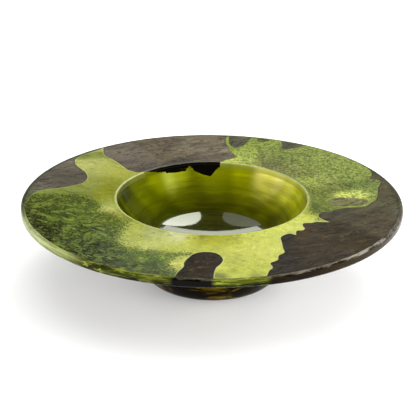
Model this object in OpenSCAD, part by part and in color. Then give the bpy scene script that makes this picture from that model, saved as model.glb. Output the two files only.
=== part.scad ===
// Art glass bowl: a shallow dished well in a thick cased wall, a wide flat brim joined to it, and
// coloured glass inlaid flush with the brim's top. The origin is on the table under the centre.
// Angles run anticlockwise seen from above, from +X, and the front is at 270 degrees.

/* [Overall] */
// Outside diameter of the brim
rim_d = 400; // [360:10:410]
// Height of the brim's flat top above the table
height = 88; // [84:1:96]

/* [Brim] */
// Thickness of the brim at its edge
edge_t = 9; // [8:0.5:11]
// Radius that rounds the brim's upper and lower edges
edge_round = 2.5; // [1.5:0.5:3]
// Width of the coloured band wrapped round the edge
edge_w = 4; // [3.5:0.5:6]
// Depth of the coloured glass on top of the brim
colour_t = 1.5; // [1:0.5:2.5]
// Thickness of the dark casing under the brim
casing_t = 1.5; // [1:0.5:2]

/* [Well] */
// Diameter of the mouth, inside the lip
mouth_d = 199; // [190:1:202]
// Diameter of the crease round the well's floor
floor_d = 115; // [105:1:120]
// Depth from the brim's top to the crease
well_depth = 40; // [36:1:44]
// How far the well's wall bows outward from a straight line
wall_bow = 5; // [3:0.5:7]
// Depth of the dish in the floor
dish_depth = 7; // [3:0.5:8]
// Thickness of the green glass that lines the well
lining_t = 3; // [2:0.5:4]
// Thickness of the floor disc at its middle
floor_t = 4; // [3:0.5:6]

/* [Lip] */
// Width of the lip bead, outward from the mouth
lip_w = 6.5; // [5:0.5:7]
// Height of the lip bead above the brim
lip_h = 2; // [1:0.5:3]
// Depth of the lip bead below the brim's top
lip_depth = 4; // [3.5:0.5:5]

/* [Underside] */
// Diameter of the foot where it meets the table
foot_d = 130; // [120:1:136]
// Height of the foot disc
foot_h = 14; // [12:1:18]
// Diameter of the ground recess under the foot
recess_d = 96; // [80:1:100]
// Depth of the ground recess
recess_depth = 2.5; // [1:0.5:4]
// Diameter that the wall reaches under the brim
neck_d = 207; // [204:1:210]
// Radius of the cove between the wall and the brim's underside
cove_r = 12; // [8:1:12]
// Thickness of the dark casing round the wall
wall_casing_t = 3; // [2:0.5:4]
// Diameter of the seam between the bowl and the brim
seam_d = 232; // [230:1:236]

/* [Hidden] */
// The outlines below are drawn for this brim diameter and scale with it.
drawn_d = 400;
rim_r = rim_d / 2;
mouth_r = mouth_d / 2;
floor_r = floor_d / 2;
foot_r = foot_d / 2;
neck_r = neck_d / 2;
seam_r = seam_d / 2;
lip_out_r = mouth_r + lip_w;
band_r = rim_r - edge_w;
under_z = height - edge_t;
plate_z = height - colour_t;
lip_z = height - lip_depth;
crease_z = height - well_depth;
floor_z = crease_z - dish_depth - floor_t;
// Exponent of the wall's outer curve: below 1 the wall turns out quickly above the foot.
wall_power = 0.65;
// Points up that curve crowd towards the foot by this exponent.
crowding = 1.7;
// The cove's centre stands off the wall by its radius and a little more, as the wall leans out.
cove_lean = 1.04;
curve_steps = 20;
corner_steps = 6;
outline_steps = 5;
oval_steps = 48;
// How far a cutter runs past the glass that it cuts.
over = 1;
$fn = 144;

// Slope, radius and centre of the arc that the well's wall follows, from the crease to the lip.
wall_run = [mouth_r - floor_r, lip_z - crease_z];
wall_chord = norm(wall_run);
wall_r = wall_chord * wall_chord / (8 * wall_bow) + wall_bow / 2;
wall_mid = [(mouth_r + floor_r) / 2, (lip_z + crease_z) / 2];
wall_centre = wall_mid + (wall_r - wall_bow) * [-wall_run[1], wall_run[0]] / wall_chord;

// Radius of the well's wall, at a depth d behind its face, at the height z; and the reverse.
function well_r_at(z, d = 0) = wall_centre[0] + sqrt(pow(wall_r + d, 2) - pow(z - wall_centre[1], 2));
function well_z_at(r, d = 0) = wall_centre[1] - sqrt(pow(wall_r + d, 2) - pow(r - wall_centre[0], 2));
// Points down the well's wall at the depth d behind its face.
function well_curve(d) = [
    for (i = [0 : curve_steps])
        let (top = atan2(lip_z - wall_centre[1], well_r_at(lip_z, d) - wall_centre[0]),
             low = atan2(well_z_at(floor_r, d) - wall_centre[1], floor_r - wall_centre[0]),
             a = top + (low - top) * i / curve_steps)
            wall_centre + (wall_r + d) * [cos(a), sin(a)]
];

// Outside of the wall: radius at the height z, before the cove.
function outer_r(z) = foot_r + (neck_r - foot_r) * pow(max(z, 0) / under_z, wall_power);
cove_z = under_z - cove_r;
cove_centre = [outer_r(cove_z) + cove_r * cove_lean, cove_z];
cove_start = 160;
cove_low_z = cove_z + cove_r * sin(cove_start);
// Points up the outside of the wall from the height z0 to the cove, then round the cove.
function outer_curve(z0) = concat(
    [for (i = [0 : curve_steps])
        let (z = z0 + (cove_low_z - z0) * pow(i / curve_steps, crowding))
            [outer_r(z), z]],
    [for (i = [1 : curve_steps])
        let (a = cove_start + (90 - cove_start) * i / curve_steps)
            cove_centre + cove_r * [cos(a), sin(a)]]
);
// The same points moved into the glass by d, along the curve's normal.
function inset_curve(p, d) = [
    for (i = [0 : len(p) - 1])
        let (a = p[max(i - 1, 0)], b = p[min(i + 1, len(p) - 1)], t = (b - a) / norm(b - a))
            p[i] + d * [-t[1], t[0]]
];
function reversed(p) = [for (i = [len(p) - 1 : -1 : 0]) p[i]];

// Outlines of the coloured glass as [angle, radius]; a third value keeps a sharp corner.
dark_rear_marks = [
    [84.8, 205], [85.2, 186], [84.6, 168], [83, 157], [82.3, 145], [80.2, 137], [78.6, 131], [77.6, 125],
    [79, 120], [82, 114], [84, 107], [85, 99], [98, 98], [111, 98], [124, 98], [137, 99], [139.4, 104],
    [140, 112], [139.6, 122], [137.8, 134], [136.3, 146], [135.2, 158], [134.8, 170], [133.6, 180],
    [131.6, 189], [130, 197], [129.5, 208], [118, 212], [105, 212], [94, 212]
];
dark_left_marks = [
    [129.5, 206], [131, 195], [135, 194], [140, 193.5], [144, 191], [147, 184], [149.5, 174], [152, 161],
    [155, 152], [158, 147], [161, 145], [164.5, 145.5], [167, 150], [170, 158], [172, 167], [173.5, 177],
    [176, 186], [180, 192], [185, 195], [188, 206], [175, 212], [160, 212], [145, 212]
];
dark_front_marks = [
    [260.5, 206], [260.3, 192], [260.6, 183], [261.4, 173], [261, 164], [261.8, 153], [263.4, 143],
    [266, 138.5], [269.5, 138], [272, 141], [273.6, 148], [274, 156], [273, 165], [271.5, 173],
    [270.8, 184], [270.6, 195], [270.8, 206]
];
dark_right_marks = [
    [285.5, 206], [286.5, 188], [288.5, 181], [289, 171], [292, 167], [294, 158], [297, 154],
    [298.5, 145], [301, 133], [303.5, 123], [306.5, 120], [310, 120.5], [311.2, 127, 1], [313, 122.5],
    [315.2, 120], [317, 123], [319.3, 122.5], [321.3, 117], [323.5, 114.5], [325.5, 116.5], [327, 120],
    [329.5, 123], [331, 129], [332.4, 135, 1], [333.5, 127], [335.5, 120], [338, 118], [341, 118],
    [343, 122], [344.5, 127], [347, 130], [349, 137], [350.5, 144], [351.5, 154], [353, 161], [356, 166],
    [360, 173], [365, 177], [370, 181], [374, 188], [377, 190], [379, 182], [381, 187], [384, 193],
    [390, 199], [392, 208], [378, 212], [362, 212], [346, 212], [330, 212], [314, 212], [299, 212]
];
cell_round_marks = [
    [76.4, 206], [76.6, 186], [77.2, 170], [78.6, 160], [80.4, 155], [82.2, 161], [83.4, 170],
    [84, 186], [83.8, 206]
];
cell_small_marks = [[69.6, 206], [69.8, 192], [71.2, 184], [73, 183], [74.2, 192], [74.6, 206]];
cell_wedge_marks = [
    [56, 206], [56.8, 192], [58.4, 180], [60.4, 173], [62, 170, 1], [63.5, 181], [65, 192], [66, 206]
];
lens_marks = [
    [353, 124], [357, 123], [360.5, 128], [361.5, 140], [361, 152], [359, 163], [356, 163],
    [353.8, 156], [352.6, 146], [351.6, 134]
];
pale_patch_marks = [
    [3, 134], [7, 132], [10, 142], [10.5, 154], [8, 165], [4, 168], [2.4, 160], [2.6, 146]
];
lime_halo_marks = [
    [258, 151], [262.5, 150], [262.5, 170], [261.5, 186], [258.5, 180], [256.6, 170], [256.6, 160]
];
frit_left_marks = [
    [180, 206], [178.5, 190], [178, 176], [178, 158], [179, 141], [182, 129], [187, 122], [193, 118],
    [199, 122], [204, 115], [209, 112], [215, 110.5], [220, 113], [224, 122], [228, 134], [232, 145],
    [237, 150], [243, 149], [250, 146], [256, 144], [261, 142], [266, 148], [266, 176], [262, 206],
    [248, 212], [232, 212], [216, 212], [198, 212]
];
frit_rear_marks = [
    [88, 206], [87, 160], [84.4, 112], [84, 100], [70, 98], [58, 98], [46, 98], [34, 98], [22, 98],
    [10, 98], [358, 98], [350, 99], [344, 103], [340, 109.5], [336.5, 117], [334, 128], [337, 160],
    [345, 206], [358, 212], [12, 212], [26, 212], [40, 212], [54, 212], [68, 212], [80, 212]
];
spill_tongue_marks = [
    [84.6, 108], [86.2, 99.6], [87.5, 98.2], [89.5, 95.8], [91.2, 94.1], [93.6, 94.6], [96.5, 95.4],
    [99.9, 96.9], [102.6, 99], [103.6, 108]
];
spill_left_marks = [
    [105.4, 108], [107, 98.9], [110.5, 98.2], [115, 98], [119, 98.5], [121.5, 99.3], [122.5, 108]
];
// Angles at which the band round the edge changes colour, from the rear left round to the rear.
edge_a = [137, 188, 232, 259, 270.6, 285.5, 350, 390, 445, 497];
// Angles between which the lime ground lies, and the angle at which it is parted.
lime_a = [130, 190, 345];
// Angles between which the lip is dark.
lip_dark_a = [85, 138];
// Streaks in the wall's casing: angle, height, half width, half height and slant.
front_streak = [263, 34, 27, 11, -9];
right_streak = [304, 50, 22, 9, 14];

// A closed smooth outline through the marks.
function place(m) = m[1] * rim_d / drawn_d * [cos(m[0]), sin(m[0])];
function is_sharp(m) = len(m) > 2;
function blend(a, b, ta, tb, t) =
    (2 * t * t * t - 3 * t * t + 1) * a + (t * t * t - 2 * t * t + t) * ta
    + (3 * t * t - 2 * t * t * t) * b + (t * t * t - t * t) * tb;
function outline(marks) = let (n = len(marks)) [
    for (i = [0 : n - 1], k = [0 : outline_steps - 1])
        let (j = (i + 1) % n, a = place(marks[i]), b = place(marks[j]),
             before = place(marks[(i + n - 1) % n]), after = place(marks[(i + 2) % n]),
             ta = is_sharp(marks[i]) ? b - a : (b - before) / 2,
             tb = is_sharp(marks[j]) ? b - a : (after - a) / 2)
            blend(a, b, ta, tb, k / outline_steps)
];

// A sector of a revolved section, from the angle a0 to a1.
module sector(a0, a1, points) {
    rotate([0, 0, a0])
        rotate_extrude(angle = a1 - a0)
            polygon(points);
}

// A straight-sided cutter of an outline, through everything between two heights.
module prism(marks, z0, z1) {
    translate([0, 0, z0])
        linear_extrude(height = z1 - z0)
            polygon(outline(marks));
}

// Section of the flat ring of coloured glass on the brim.
function plate_section() = [
    [lip_out_r, plate_z], [band_r, plate_z], [band_r, height], [lip_out_r, height]
];

// One inlay: its outline's share of the ring, less the inlays given as children.
module inlay(marks) {
    difference() {
        intersection() {
            rotate_extrude() polygon(plate_section());
            cut(marks);
        }
        children();
    }
}

module cut(marks) {
    prism(marks, plate_z - over, height + over);
}

module dark_cuts() {
    cut(dark_rear_marks);
    cut(dark_left_marks);
    cut(dark_front_marks);
    cut(dark_right_marks);
}

// The lime ground between two angles: the ring less every other inlay.
module lime_ground(a0, a1) {
    difference() {
        sector(a0, a1, plate_section());
        dark_cuts();
        cut(frit_left_marks);
        cut(frit_rear_marks);
    }
}

module foot_disc() {
    side = [for (p = outer_curve(0)) if (p[1] < foot_h) p];
    color("#1c1d10")
        difference() {
            rotate_extrude()
                polygon(concat([[0, 0]], side, [[outer_r(foot_h), foot_h], [0, foot_h]]));
            translate([0, 0, -over])
                cylinder(h = over + recess_depth, d = recess_d);
        }
}

// Back of the wall's casing, where it lies on the thick glass.
function casing_back() = [
    for (p = inset_curve(outer_curve(foot_h), wall_casing_t)) if (p[1] > foot_h && p[0] < seam_r) p
];
function back_r_at(z) = lookup(z, [for (p = casing_back()) [p[1], p[0]]]);

// Solid glass between the foot and the well's floor.
module bowl_base() {
    back = casing_back();
    side = [for (p = back) if (p[1] < floor_z) p];
    color("#4a4d12")
        rotate_extrude()
            polygon(concat(
                [[0, foot_h], [back[0][0], foot_h]], side,
                [[back_r_at(floor_z), floor_z], [0, floor_z]]));
}

// Thick glass of the wall, between the lining and the casing, out to the seam with the brim.
module bowl_wall() {
    side = [for (p = casing_back()) if (p[1] > floor_z) p];
    color("#4f5214")
        rotate_extrude()
            polygon(concat(
                [[floor_r, floor_z], [back_r_at(floor_z), floor_z]], side,
                [[seam_r, under_z + wall_casing_t], [seam_r, plate_z], [lip_out_r, plate_z],
                 [lip_out_r, lip_z]],
                well_curve(lining_t)));
}

function casing_section() = let (back = casing_back()) concat(
    outer_curve(foot_h), [[seam_r, under_z], [seam_r, under_z + wall_casing_t]], reversed(back),
    [[back[0][0], foot_h]]);

// A streak of amber glass in the casing: where a slanted oval, pressed in along the radius at the
// angle a and the height z, meets it.
function oval(half_w, half_h) = [
    for (i = [0 : oval_steps - 1])
        let (a = 360 * i / oval_steps) [half_w * cos(a), half_h * sin(a)]
];

module streak_space(streak) {
    intersection() {
        rotate_extrude() polygon(casing_section());
        rotate([0, 0, streak[0] + 90])
            translate([0, 0, streak[1]])
                rotate([90, 0, 0])
                    linear_extrude(height = seam_r)
                        rotate(streak[4])
                            polygon(oval(streak[2], streak[3]));
    }
}

module bowl_casing() {
    color("#14130c")
        difference() {
            rotate_extrude() polygon(casing_section());
            streak_space(front_streak);
            streak_space(right_streak);
        }
}

module amber_streak_front() {
    color("#5d4a08") streak_space(front_streak);
}

module amber_streak_right() {
    color("#3f4a0a") streak_space(right_streak);
}

module lining_shell() {
    rotate_extrude()
        polygon(concat(well_curve(0), reversed(well_curve(lining_t))));
}

module well_lining() {
    color("#6d7a06")
        difference() {
            lining_shell();
            prism(spill_tongue_marks, floor_z, height);
            prism(spill_left_marks, floor_z, height);
        }
}

// The floor: a disc dished by a shallow arc.
module well_floor() {
    dish_r = (floor_r * floor_r + dish_depth * dish_depth) / (2 * dish_depth);
    span = asin(floor_r / dish_r);
    dish = [
        for (i = [0 : curve_steps])
            let (a = span * i / curve_steps)
                [dish_r * sin(a), crease_z - dish_depth + dish_r * (1 - cos(a))]
    ];
    color("#3c3f05")
        rotate_extrude()
            polygon(concat([[0, floor_z], [floor_r, floor_z]], reversed(dish)));
}

module spill_tongue() {
    color("#14100a")
        intersection() {
            lining_shell();
            prism(spill_tongue_marks, floor_z, height);
        }
}

module spill_left() {
    color("#1d1a12")
        intersection() {
            lining_shell();
            prism(spill_left_marks, floor_z, height);
        }
}

// Section of the lip: a bead that stands above the brim and rolls over into the well.
function lip_section() = let (half = lip_w / 2, crest = height + lip_h) concat(
    [[mouth_r, lip_z], [lip_out_r, lip_z], [lip_out_r, height]],
    [for (i = [1 : curve_steps - 1])
        let (a = 180 * i / curve_steps)
            [mouth_r + half + half * cos(a), height + lip_h * sin(a)]],
    [[mouth_r, height]]);

module lip_bead() {
    color("#c3cb72")
        sector(lip_dark_a[1], lip_dark_a[0] + 360, lip_section());
}

module lip_dark() {
    color("#4a453b")
        sector(lip_dark_a[0], lip_dark_a[1], lip_section());
}

module brim_core() {
    color("#4d5016")
        rotate_extrude()
            polygon([[seam_r, under_z + casing_t], [band_r, under_z + casing_t], [band_r, plate_z],
                     [seam_r, plate_z]]);
}

module brim_casing() {
    color("#17160e")
        rotate_extrude()
            polygon([[seam_r, under_z], [band_r, under_z], [band_r, under_z + casing_t],
                     [seam_r, under_z + casing_t]]);
}

module lime_front() {
    color("#c3c863") lime_ground(lime_a[1], lime_a[2]);
}

module lime_rear_left() {
    color("#b4ba62") lime_ground(lime_a[0], lime_a[1]);
}

module lime_halo() {
    color("#cfd47c")
        inlay(lime_halo_marks) cut(dark_front_marks);
}

module frit_left() {
    color("#55663a")
        inlay(frit_left_marks) {
            dark_cuts();
            cut(lime_halo_marks);
        }
}

module frit_rear() {
    color("#84944f")
        inlay(frit_rear_marks) {
            dark_cuts();
            cut(cell_round_marks);
            cut(cell_small_marks);
            cut(cell_wedge_marks);
            cut(lens_marks);
            cut(pale_patch_marks);
        }
}

module pale_patch() {
    color("#b9c477")
        inlay(pale_patch_marks);
}

module dark_rear() {
    color("#635e53") inlay(dark_rear_marks);
}

module dark_left() {
    color("#625e54")
        inlay(dark_left_marks) cut(dark_rear_marks);
}

module dark_front() {
    color("#403d37") inlay(dark_front_marks);
}

module dark_right() {
    color("#4e4a40") inlay(dark_right_marks);
}

module cell_round() {
    color("#6f6c54") inlay(cell_round_marks);
}

module cell_small() {
    color("#77804f") inlay(cell_small_marks);
}

module cell_wedge() {
    color("#706d55") inlay(cell_wedge_marks);
}

module lens_right() {
    color("#7b7659")
        inlay(lens_marks) cut(dark_right_marks);
}

// Section of the band round the edge, with both corners rounded.
function edge_section() = concat(
    [[band_r, under_z], [rim_r - edge_round, under_z]],
    [for (i = [1 : corner_steps])
        let (a = 90 * i / corner_steps - 90)
            [rim_r - edge_round + edge_round * cos(a), under_z + edge_round + edge_round * sin(a)]],
    [for (i = [0 : corner_steps])
        let (a = 90 * i / corner_steps)
            [rim_r - edge_round + edge_round * cos(a), height - edge_round + edge_round * sin(a)]],
    [[band_r, height]]);

// The stretch of the band that starts at the i-th angle.
module edge_piece(i) {
    sector(edge_a[i], edge_a[i + 1], edge_section());
}

module edge_lime() {
    color("#aeb84e") edge_piece(1);
}

module edge_veined() {
    color("#4c5420") edge_piece(2);
}

module edge_dark_front() {
    color("#33302b") edge_piece(3);
}

module edge_striped() {
    color("#69762a") edge_piece(4);
}

module edge_brown() {
    color("#5a5146") edge_piece(5);
}

module edge_grey_right() {
    color("#6d685b") edge_piece(6);
}

module edge_green_rear() {
    color("#7d8a55") edge_piece(7);
}

module edge_dark_rear() {
    color("#68645a") edge_piece(8);
}

module edge_dark_left() {
    color("#605d52") edge_piece(0);
}

foot_disc();
bowl_base();
bowl_wall();
bowl_casing();
amber_streak_front();
amber_streak_right();
well_lining();
well_floor();
spill_tongue();
spill_left();
lip_bead();
lip_dark();
brim_core();
brim_casing();
lime_front();
lime_rear_left();
lime_halo();
frit_left();
frit_rear();
pale_patch();
dark_rear();
dark_left();
dark_front();
dark_right();
cell_round();
cell_small();
cell_wedge();
lens_right();
edge_lime();
edge_veined();
edge_dark_front();
edge_striped();
edge_brown();
edge_grey_right();
edge_green_rear();
edge_dark_rear();
edge_dark_left();
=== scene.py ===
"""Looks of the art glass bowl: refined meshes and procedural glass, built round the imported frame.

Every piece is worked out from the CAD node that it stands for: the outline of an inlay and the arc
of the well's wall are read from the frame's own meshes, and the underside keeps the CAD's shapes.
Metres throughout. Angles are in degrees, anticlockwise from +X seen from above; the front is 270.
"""
import math

import bpy
import numpy as np
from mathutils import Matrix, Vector, kdtree, noise
from mathutils.geometry import delaunay_2d_cdt


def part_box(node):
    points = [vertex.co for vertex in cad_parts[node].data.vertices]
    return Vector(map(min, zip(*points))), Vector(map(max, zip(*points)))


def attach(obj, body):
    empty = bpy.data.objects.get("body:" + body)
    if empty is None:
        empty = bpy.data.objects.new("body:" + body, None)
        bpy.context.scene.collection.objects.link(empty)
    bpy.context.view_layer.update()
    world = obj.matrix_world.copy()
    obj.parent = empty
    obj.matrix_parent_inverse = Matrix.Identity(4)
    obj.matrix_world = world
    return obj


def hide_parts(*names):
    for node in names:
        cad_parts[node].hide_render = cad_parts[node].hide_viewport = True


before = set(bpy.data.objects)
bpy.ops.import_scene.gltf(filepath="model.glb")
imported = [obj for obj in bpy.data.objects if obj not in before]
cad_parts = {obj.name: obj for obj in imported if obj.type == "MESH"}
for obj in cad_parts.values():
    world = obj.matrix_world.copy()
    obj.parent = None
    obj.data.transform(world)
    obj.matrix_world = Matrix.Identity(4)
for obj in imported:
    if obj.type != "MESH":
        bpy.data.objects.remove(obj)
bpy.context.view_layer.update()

MM = 0.001
GRID = 1.35 * MM          # spacing of the points on a refined face
TURN_STEPS = 480          # points round a whole turn
EDGE_CORNER = 2.5 * MM    # rounding of the edge, above and below
LIP_CREST = 2.7 * MM      # how far outside the mouth the lip is highest
LIP_TURN = 2.3 * MM       # how far the lip's roll goes down into the well
LIP_SPARE = 0.15 * MM     # room left over the lip for its ripple
LINING = 3 * MM           # thickness of the well's lining
WALL_NODES = ("well_lining", "spill_tongue", "spill_left")

# -------------------- measures read from the frame

BRIM_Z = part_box("dark_front")[1].z
PLATE_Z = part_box("dark_front")[0].z
UNDER_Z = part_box("brim_casing")[0].z
RIM_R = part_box("edge_grey_right")[1].x
BAND_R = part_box("brim_core")[1].x
LIP_OUT_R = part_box("lip_bead")[1].x
LIP_LOW_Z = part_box("lip_bead")[0].z
LIP_TOP_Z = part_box("lip_bead")[1].z
FLOOR_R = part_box("well_floor")[1].x
FLOOR_LOW_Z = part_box("well_floor")[0].z
CREASE_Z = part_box("well_floor")[1].z


def node_arrays(node):
    """Corner positions, with doubles merged, and the triangles of a CAD node."""
    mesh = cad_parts[node].data
    raw = np.array([v.co for v in mesh.vertices])
    keys, back = np.unique(np.round(raw / 1e-6).astype(int), axis=0, return_inverse=True)
    back = np.asarray(back).reshape(-1)
    faces = [[int(back[i]) for i in p.vertices] for p in mesh.polygons]
    return keys * 1e-6, faces


def unit(rows):
    return rows / np.maximum(np.linalg.norm(rows, axis=1), 1e-18)[:, None]


def face_crosses(points, faces):
    """A vector square to each face and as long as the face is large."""
    tri = np.array([f[:3] for f in faces])
    return np.cross(points[tri[:, 1]] - points[tri[:, 0]], points[tri[:, 2]] - points[tri[:, 0]])


def border_of(faces):
    """Sides that belong to one face only, in the order of the faces."""
    sides = dict.fromkeys(side for face in faces for side in zip(face, [*face[1:], face[0]]))
    return [(a, b) for a, b in sides if (b, a) not in sides]


def upper_loops(node):
    """Outlines, seen from above, of the faces of a node that look up."""
    points, faces = node_arrays(node)
    top = points[:, 2].max()
    shown = []
    for face, n in zip(faces, unit(face_crosses(points, faces))):
        flat_top = n[2] > 0.999 and points[face[0], 2] > top - 1e-5
        if n[2] >= 0.05 and not (node in WALL_NODES and flat_top):
            shown.append(face)
    follow = {}
    for a, b in border_of(shown):
        follow.setdefault(a, []).append(b)
    loops = []
    while follow:
        start = at = next(iter(follow))
        loop = [start]
        while at in follow:
            onward = follow[at].pop()
            if not follow[at]:
                del follow[at]
            if onward == start:
                break
            loop.append(onward)
            at = onward
        if len(loop) > 2:
            loops.append(points[loop][:, :2])
    return loops


# -------------------- the well's wall and underside


def circle_through(p, q, s):
    """Centre and radius of the circle through three points."""
    a = np.array([q - p, s - p]) * 2
    b = np.array([q @ q - p @ p, s @ s - p @ p])
    centre = np.linalg.solve(a, b)
    return centre, float(np.linalg.norm(centre - p))


def read_wall():
    """The arc that the face of the well's wall follows, in radius and height."""
    points, faces = node_arrays("well_lining")
    normals = unit(face_crosses(points, faces))
    used = {i for f, n in zip(faces, normals) if 0.05 < n[2] < 0.99 for i in f}
    rz = np.array([[math.hypot(*points[i][:2]), points[i][2]] for i in used])
    rz = rz[rz[:, 1].argsort()]
    return circle_through(rz[0], rz[len(rz) // 2], rz[-1]), float(rz[-1, 0])


(WALL_CENTRE, WALL_R), MOUTH_R = read_wall()


def wall_z(r):
    return WALL_CENTRE[1] - np.sqrt(np.maximum(WALL_R ** 2 - (r - WALL_CENTRE[0]) ** 2, 0))


# -------------------- soft relief of the surfaces


def swell(x, y, wavelength, seed):
    """Smooth noise between -1 and 1, from its wavelength in metres."""
    return noise.noise(Vector((x / wavelength + seed, y / wavelength - seed, seed * 1.7)))


def smooth(t):
    t = np.clip(t, 0, 1)
    return t * t * (3 - 2 * t)


def brim_lift(x, y):
    """Slow waves of the brim's top, and its shallow rise towards the mouth."""
    r = math.hypot(x, y)
    waves = 0.26 * swell(x, y, 0.085, 3.1) + 0.12 * swell(x, y, 0.034, 7.7)
    rise = 1.15 * float(smooth((0.128 - r) / 0.026))
    return (waves * float(smooth((RIM_R + 0.004 - r) / 0.012)) + rise - 0.12) * MM


def wall_lift(x, y):
    """Turning marks in the well, slow and shallow."""
    r = math.hypot(x, y)
    a = math.atan2(y, x)
    rings = 0.10 * math.sin(r / 0.0031 + 1.2 * math.sin(a + 1)) + 0.30 * swell(x, y, 0.06, 5.2)
    inside = float(smooth((r - FLOOR_R) / 0.006) * smooth((MOUTH_R - r) / 0.004))
    return rings * inside * MM


def brim_surface(x, y):
    return BRIM_Z + brim_lift(x, y)


def wall_surface(x, y):
    return float(wall_z(min(math.hypot(x, y), MOUTH_R))) + wall_lift(x, y)


def slope_normal(surface, x, y, step=0.4 * MM):
    dx = (surface(x + step, y) - surface(x - step, y)) / (2 * step)
    dy = (surface(x, y + step) - surface(x, y - step)) / (2 * step)
    return Vector((-dx, -dy, 1.0)).normalized()


# -------------------- refined pieces


def put(name, data):
    thing = bpy.data.objects.new(name, data)
    bpy.context.scene.collection.objects.link(thing)
    return thing


def add_mesh(name, verts, faces, body="root"):
    mesh = bpy.data.meshes.new(name)
    mesh.from_pydata([tuple(map(float, v)) for v in verts], [], faces)
    mesh.update()
    piece = put(name, mesh)
    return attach(piece, body)


def stand_in(node, verts, faces):
    """A piece that is shown instead of a CAD node."""
    piece = add_mesh("glass_" + node, verts, faces)
    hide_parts(node)
    return piece


def even_odd(points, loops):
    """Which points lie inside the loops, holes left out."""
    inside = np.zeros(len(points), bool)
    x, y = points.T
    for loop in loops:
        for (x0, y0), (x1, y1) in zip(loop, np.roll(loop, -1, axis=0)):
            if y0 != y1:
                crosses = (y0 > y) != (y1 > y)
                inside ^= crosses & (x < x0 + (y - y0) * (x1 - x0) / (y1 - y0))
    return inside


def densified(loop, step):
    """A loop with points added, no more than about a step apart."""
    out = []
    for a, b in zip(loop, np.roll(loop, -1, axis=0)):
        n = max(1, int(math.ceil(np.linalg.norm(b - a) / step - 0.2)))
        out += [a + (b - a) * k / n for k in range(n)]
    return np.array(out)


def tree_of(points):
    tree = kdtree.KDTree(len(points))
    for i, p in enumerate(points):
        tree.insert((p[0], p[1], 0), i)
    tree.balance()
    return tree


def distance(tree, x, y):
    return tree.find((x, y, 0))[2]


def hex_points(low, high, step):
    """Points of a net of even triangles over a rectangle."""
    row = 0.866
    rows = int((high[1] - low[1]) / (step * row)) + 2
    cols = int((high[0] - low[0]) / step) + 2
    return np.array([(low[0] + (i + 0.5 * (j % 2)) * step, low[1] + j * step * row)
                     for j in range(rows) for i in range(cols)])


OUTLINES = {}


def outline_of(node):
    """The loops of a node's outline, and a tree that tells how far away it is."""
    if node not in OUTLINES:
        loops = [densified(loop, GRID) for loop in upper_loops(node)]
        close_set = np.concatenate([densified(loop, GRID / 3) for loop in loops])
        OUTLINES[node] = (loops, tree_of(close_set))
    return OUTLINES[node]


def net_over(node):
    """Flat points and triangles that fill a node's outline, and each point's distance from it."""
    loops, tree = outline_of(node)
    rim = np.concatenate(loops)
    grid = hex_points(rim.min(0), rim.max(0), GRID)
    grid = grid[even_odd(grid, loops)]
    grid = np.array([p for p in grid if distance(tree, *p) > 0.55 * GRID])
    flat = np.concatenate([rim, grid]) if len(grid) else rim
    edges, start = [], 0
    for loop in loops:
        n = len(loop)
        edges += [(start + i, start + (i + 1) % n) for i in range(n)]
        start += n
    found = delaunay_2d_cdt([Vector(p) for p in flat], edges, [], 0, 1e-9)
    co, tris = np.array([tuple(p) for p in found[0]]), np.array(found[2])
    tris = tris[even_odd(co[tris].mean(axis=1), loops)]
    used = np.unique(tris)
    renumber = -np.ones(len(co), int)
    renumber[used] = np.arange(len(used))
    co = co[used]
    return co, renumber[tris], np.array([distance(tree, *p) for p in co])


def sheet_piece(node, surface, back, relief=None, attributes=None):
    """A closed piece whose face follows a surface over a node's outline.

    back(x, y) is the height of its back. relief(x, y, d) is added to the face at a distance d from
    the outline, and has to be nothing at d = 0, where neighbours meet. attributes names numbers
    stored at each point, as functions of (x, y, d)."""
    co, tris, away = net_over(node)
    n = len(co)
    border = border_of(tris)
    top = [surface(x, y) + (relief(x, y, d) if relief else 0) for (x, y), d in zip(co, away)]
    low = [back(x, y) for x, y in co]
    verts = [(x, y, z) for (x, y), z in zip(co, top)] + [(x, y, z) for (x, y), z in zip(co, low)]
    faces = [tuple(int(i) for i in t) for t in tris]
    faces += [tuple(int(i) + n for i in t[::-1]) for t in tris]
    faces += [(int(b), int(a), int(a) + n, int(b) + n) for a, b in border]
    piece = stand_in(node, verts, faces)
    mesh = piece.data
    # Flat normals on the back and the sides; on the face, smooth ones that match the neighbours'.
    crosses = face_crosses(np.array(verts), faces)
    flat = unit(crosses)
    eased = np.zeros((n, 3))
    for k in range(3):
        np.add.at(eased, tris[:, k], crosses[:len(tris)])
    eased = unit(eased)
    for i in {i for side in border for i in side}:
        eased[i] = slope_normal(surface, *co[i])
    normals = []
    for k, face in enumerate(faces):
        on_face = k < len(tris)
        normals += [tuple(eased[i]) for i in face] if on_face else [tuple(flat[k])] * len(face)
    mesh.polygons.foreach_set("use_smooth", [True] * len(mesh.polygons))
    mesh.normals_split_custom_set(normals)
    for key, value in (attributes or {}).items():
        store(mesh, key, [value(x, y, d) for (x, y), d in zip(co, away)] * 2)
    return piece


def store(mesh, key, values):
    """Numbers, or colours, kept at the points of a mesh for its material."""
    if np.ndim(values[0]) == 0:
        layer = mesh.attributes.new(key, "FLOAT", "POINT")
        layer.data.foreach_set("value", np.array(values, np.float32))
    else:
        layer = mesh.attributes.new(key, "FLOAT_COLOR", "POINT")
        flat = np.array([tuple(v) + (1.0,) for v in values], np.float32).ravel()
        layer.data.foreach_set("color", flat)


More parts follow.
